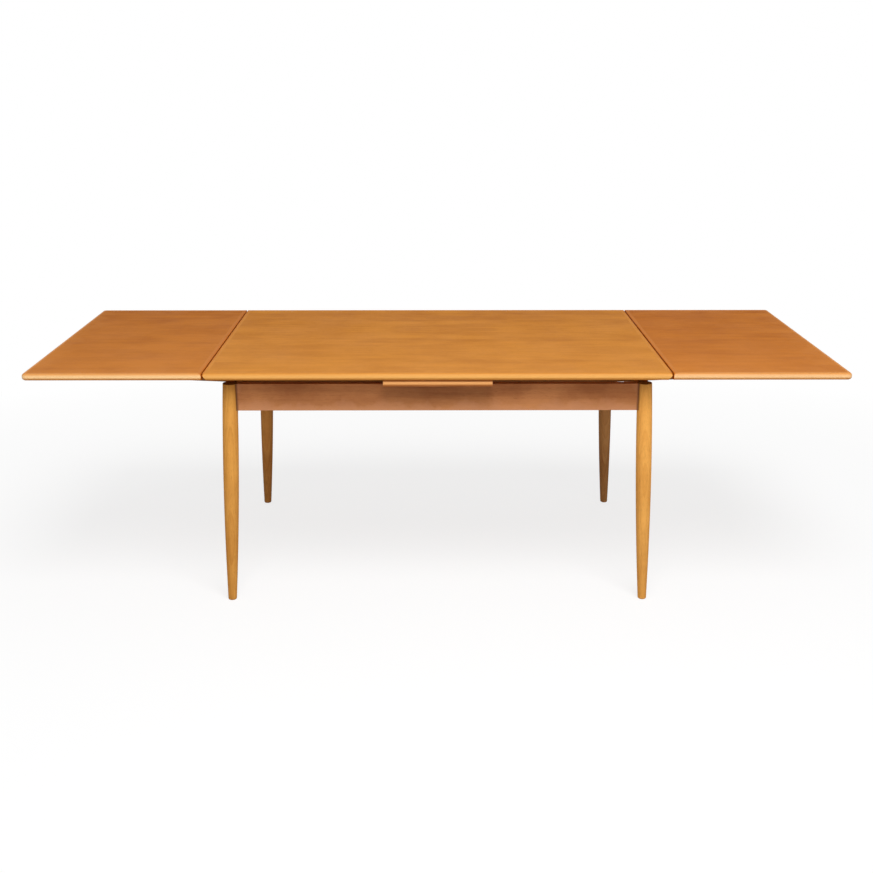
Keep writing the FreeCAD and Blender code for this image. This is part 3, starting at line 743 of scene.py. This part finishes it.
def peg_tree():
    tree, given, result = new_group(
        "tapered pegs", "GeometryNodeTree",
        [("Places", "NodeSocketGeometry", None), ("Diameter", "NodeSocketFloat", None),
         ("Length", "NodeSocketFloat", None), ("Taper", "NodeSocketFloat", None),
         ("End Taper", "NodeSocketFloat", None), ("Material", "NodeSocketMaterial", None)],
        [("Geometry", "NodeSocketGeometry")])
    radius = calc(tree, "MULTIPLY", given["Diameter"], 0.5)
    taper, back = given["Taper"], given["End Taper"]
    soft = calc(tree, "MULTIPLY", taper, 0.18)
    tip = calc(tree, "SUBTRACT", radius, taper)
    stem = turned_shape(
        tree, [(0.0, calc(tree, "SUBTRACT", tip, soft)), (calc(tree, "MULTIPLY", soft, 0.3), tip),
               (calc(tree, "SUBTRACT", taper, soft), calc(tree, "SUBTRACT", radius, soft)),
               (calc(tree, "ADD", taper, soft), radius),
               (calc(tree, "SUBTRACT", given["Length"], back), radius),
               (given["Length"], calc(tree, "SUBTRACT", radius, back))], 40)
    finished(tree, at_each_place(tree, stem, given["Places"]), given["Material"], result[0])
    return tree


beech = oiled_wood("beech pegs", (222, 182, 132), (194, 148, 98), (150, 104, 66), along="Z",
                   centre=(0.01, 0.02, 0.5), ring_width=0.003, ring_contrast=0.5, roughness=0.55,
                   specular=0.25, oil=0.0)
tapered_pegs = peg_tree()
peg_low, peg_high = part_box("main_top_guide_pegs")
peg_spacing = 0.12
guide_pegs = grown("tapered_guide_pegs", tapered_pegs,
                   {"Diameter": 0.014, "Length": peg_high[2] - peg_low[2], "Taper": 0.003,
                    "End Taper": 0.0005, "Material": beech},
                   [((0, side * peg_spacing, peg_low[2]), (0, 0, 1)) for side in (-1, 1)])
stand_for(guide_pegs, "main_top_guide_pegs", "main_top")


# --- Leaves ----------------------------------------------------------------------------------------
# Two draw leaves of the same make as the main top, from a redder batch of veneer. The three
# outer edges are rounded and the outer corners rounded in plan. The inner edge is square.

leaf_tones = {"left": (0, 0, 0), "right": (1, -1, -2)}
# Painted highlight on each leaf's rounded outer edges.
leaf_nose_painted_highlight = {"left": (251, 209, 151), "right": (244, 198, 143)}
for side, tones in leaf_tones.items():
    sign = -1 if side == "left" else 1
    low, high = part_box(f"{side}_leaf_front_lipping")[0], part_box(f"{side}_leaf_back_lipping")[1]
    on_left, on_right = (0, spare) if sign < 0 else (spare, 0)
    outer_box = ((low[0] - on_left, low[1], low[2]), (high[0] + on_right, high[1], high[2]))
    inner_box = ((low[0] - on_right, low[1] - spare, low[2]),
                 (high[0] + on_left, high[1] + spare, high[2]))
    # The wide rubbed band at the outer edges is partly wear and partly painted sheen, and the front is
    # painted paler as light.
    leaf_veneer = oiled_wood(f"{side} leaf veneer", toned((189, 112, 33), tones),
                             toned((161, 87, 20), tones), (110, 56, 20),
                             centre=(sign * 1.4, 0.05 * sign, 0.60), sheet_width=0.175,
                             ring_contrast=0.14, streaks=0.5, clouds=0.6, fibres=0.25, slant=0.06,
                             ring_width=0.012, edges=outer_box, wear=0.4, wear_width=0.08, painted_front_light=0.45)
    outer_painted_highlight = {"colour": leaf_nose_painted_highlight[side], "share": 0.9, "reach": {}}
    body = f"{side}_leaf"
    eased(f"veneered_{side}_leaf", f"{side}_leaf_panel", 0.00012, leaf_veneer, body)
    for edge in ("front", "back", "inner", "outer"):
        node = f"{side}_leaf_{edge}_lipping"
        low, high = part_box(node)
        inner = edge == "inner"
        edge_wood = oiled_wood(f"{side} leaf {edge} lipping wood",
                               (198, 122, 50) if inner else (208, 136, 60),
                               (172, 98, 36) if inner else (184, 112, 46),
                               (122, 68, 26), oil=0.12 if inner else 0.3, wear=0.15 if inner else 0.35,
                               side=seam_painted_shade if inner else outer_painted_highlight,
                               along="Y" if edge in ("inner", "outer") else "X",
                               centre=(low[0], low[1], 0.66), ring_width=0.006,
                               edges=inner_box if inner else outer_box,
                               ring_contrast=0.3, streaks=0.3, painted_front_light=0.25)
        eased(f"rounded_{node}", node, 0.00012, edge_wood, body)


# --- Lopers ----------------------------------------------------------------------------------------
# Two sloping bearers of beech under each leaf, painted dark as the shade under the leaves, level where
# they carry it and tapered behind.
# They slide in the notches of the end apron and both rails, and lift the leaf as it comes out.

loper_places = {"left": 0.300, "right": 0.252}
for side, loper_y in loper_places.items():
    for y_name in ("front", "back"):
        node = f"{side}_leaf_{y_name}_loper"
        # Painted shade: the lopers are coloured dark for the shade they lie in under the leaves.
        shade_darkened_loper_wood = bare_wood(f"stained {node}", node, (150, 98, 46), (120, 72, 34), (78, 46, 22),
                               ring_width=0.005, ring_contrast=0.4, streaks=0.4, wear=0.4)
        eased(f"planed_{node}", node, 0.0006, shade_darkened_loper_wood, f"{side}_leaf")
    sign = -1 if side == "left" else 1
    low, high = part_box(f"{side}_leaf_loper_screws")
    reach = sorted(abs(x) for x in (low[0], high[0]))
    first, last = reach[0] + head_radius, reach[1] - head_radius
    seats = [((sign * x, y, low[2]), (0, 0, 1))
             for x in (first, (first + last) / 2, last) for y in (-loper_y, loper_y)]
    loper_screws = grown(f"slotted_{side}_loper_screws", screw_tree,
                         {**screw_sizes, "Length": 0.030, "Material": steel}, seats)
    stand_for(loper_screws, f"{side}_leaf_loper_screws", f"{side}_leaf")


# --- Stop dowels -----------------------------------------------------------------------------------
# A beech dowel glued across the tail of each loper, with its ends softened. It meets the rail
# when the leaf is right out, so that the leaf can't be drawn off the table.

dowel_length = 0.042
for side, loper_y in loper_places.items():
    centre_x, _, centre_z = middle_of(*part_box(f"{side}_leaf_stop_dowels"))
    dowels = grown(f"turned_{side}_stop_dowels", tapered_pegs,
                   {"Diameter": 0.008, "Length": dowel_length, "Taper": 0.0006, "End Taper": 0.0006,
                    "Material": beech},
                   [((centre_x, y - dowel_length / 2, centre_z), (0, 1, 0)) for y in (-loper_y, loper_y)])
    stand_for(dowels, f"{side}_leaf_stop_dowels", f"{side}_leaf")


# --- Floor, lights and camera ----------------------------------------------------------------------
# A white studio floor that runs into a white surround, one large soft lamp high in front and a
# weaker one low on each side. The camera stands in front of the table, at a standing person's
# eye height.

floor_mesh = bpy.data.meshes.new("floor")
floor_reach = 30.0
floor_mesh.from_pydata([(-floor_reach, -floor_reach, 0), (floor_reach, -floor_reach, 0),
                        (floor_reach, floor_reach, 0), (-floor_reach, floor_reach, 0)], [], [(0, 1, 2, 3)])
floor = piece_of("floor", floor_mesh)
floor_paint = bpy.data.materials.new("white floor")
floor_paint.use_nodes = True
tree = floor_paint.node_tree
shader = tree.nodes["Principled BSDF"]
path = tree.nodes.new("ShaderNodeLightPath").outputs
seen = calc(tree, "MAXIMUM", path["Is Camera Ray"], path["Is Glossy Ray"])
feed(tree, shader.inputs["Base Color"],
     blend_colours(tree, seen, (0.62, 0.61, 0.60, 1), (0.96, 0.96, 0.96, 1)))
shader.inputs["Roughness"].default_value = 0.9
shader.inputs["Specular IOR Level"].default_value = 0.0
spot = tree.nodes.new("ShaderNodeTexCoord").outputs["Object"]
distance = vector_calc(tree, "LENGTH", vector_calc(tree, "MULTIPLY", spot, (0.7, 1.0, 1.0)))
fade_start, fade_end, near_white = 0.9, 2.4, 0.78
far = calc(tree, "MULTIPLY", remap(tree, distance, fade_start, fade_end, near_white, 1.0), seen)
glow = node_of(tree, "ShaderNodeEmission", color=(1, 1, 1, 1), strength=1.0)
both = tree.nodes.new("ShaderNodeMixShader")
feed(tree, both.inputs[0], far)
feed(tree, both.inputs[1], shader.outputs[0])
feed(tree, both.inputs[2], glow.outputs[0])
feed(tree, tree.nodes["Material Output"].inputs["Surface"], both.outputs[0])
floor_mesh.materials.append(floor_paint)

world = bpy.data.worlds.new("studio")
bpy.context.scene.world = world
world.use_nodes = True
tree = world.node_tree
path = tree.nodes.new("ShaderNodeLightPath").outputs
seen = calc(tree, "MAXIMUM", path["Is Camera Ray"],
            calc(tree, "MAXIMUM", path["Is Glossy Ray"], path["Is Transmission Ray"]))
background = tree.nodes["Background"].inputs
background["Color"].default_value = (1, 1, 1, 1)
feed(tree, background["Strength"], calc(tree, "MULTIPLY_ADD", seen, 0.68, 0.32))

lamp_aim = Vector((0, 0, 0.7))
lamps = {"key_lamp": ((0.5, -2.9, 5.0), 3.2, 240.0), "right_fill": ((3.2, -4.6, 1.6), 2.0, 38.0),
         "left_fill": ((-3.4, -4.6, 1.6), 2.0, 26.0)}
for name, (place, size, power) in lamps.items():
    lamp_data = bpy.data.lights.new(name, "AREA")
    lamp_data.shape = "DISK"
    lamp_data.size = size
    lamp_data.energy = power
    lamp = bpy.data.objects.new(name, lamp_data)
    lamp.location = place
    lamp.rotation_euler = (lamp_aim - Vector(place)).to_track_quat("-Z", "Y").to_euler()
    bpy.context.scene.collection.objects.link(lamp)

focal_pixels = 1173.7
picture_pixels = 873
camera_data = bpy.data.cameras.new("camera")
camera_data.sensor_width = 36.0
camera_data.lens = camera_data.sensor_width * focal_pixels / picture_pixels
camera = bpy.data.objects.new("camera", camera_data)
camera.location = (-0.0237, -3.6846, 1.5704)
camera.rotation_euler = (math.pi / 2 - 0.3105, -0.0005, -0.0061)
bpy.context.scene.collection.objects.link(camera)
bpy.context.scene.camera = camera
bpy.context.scene.view_settings.view_transform = "Standard"
